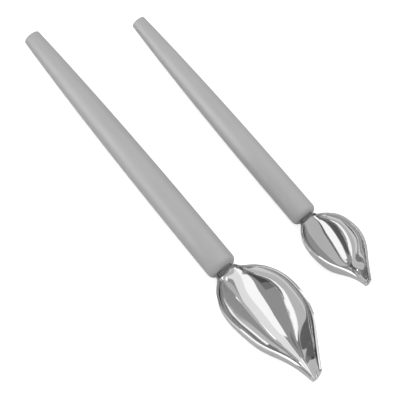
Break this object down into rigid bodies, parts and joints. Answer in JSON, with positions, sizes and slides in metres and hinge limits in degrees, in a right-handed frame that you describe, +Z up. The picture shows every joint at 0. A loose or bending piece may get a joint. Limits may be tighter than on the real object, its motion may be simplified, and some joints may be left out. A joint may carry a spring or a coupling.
{
  "type": "pair of decorating spoons",
  "caption": "Large and small decorating spoon lying side by side, each with a leaf-shaped bowl that narrows to an open pouring spout and a tapered round grip.",
  "frame": {"origin": "on the floor, in the middle of the outline of the two spoons lying side by side", "axes": "+X along the large spoon from its handle's tip to its spout, +Z up out of the bowls, small spoon on the +Y side"},
  "size_m": [0.2056, 0.0762, 0.0185],
  "materials": {
    "polished_steel": "mirror-polished stainless steel sheet",
    "grip_skin": "satin soft-touch grey moulding",
    "core_plastic": "plain mid-grey rigid moulding"
  },
  "bodies": {
    "large_spoon": {"large_bowl": "polished_steel", "large_core": "core_plastic", "large_grip": "grip_skin"},
    "small_spoon": {"small_bowl": "polished_steel", "small_core": "core_plastic", "small_grip": "grip_skin"}
  },
  "joints": [
    {"name": "small_spoon_lift", "type": "slide", "parent": "large_spoon", "child": "small_spoon", "axis": [0, 0, 1], "range_m": [0, 0.06]}
  ]
}
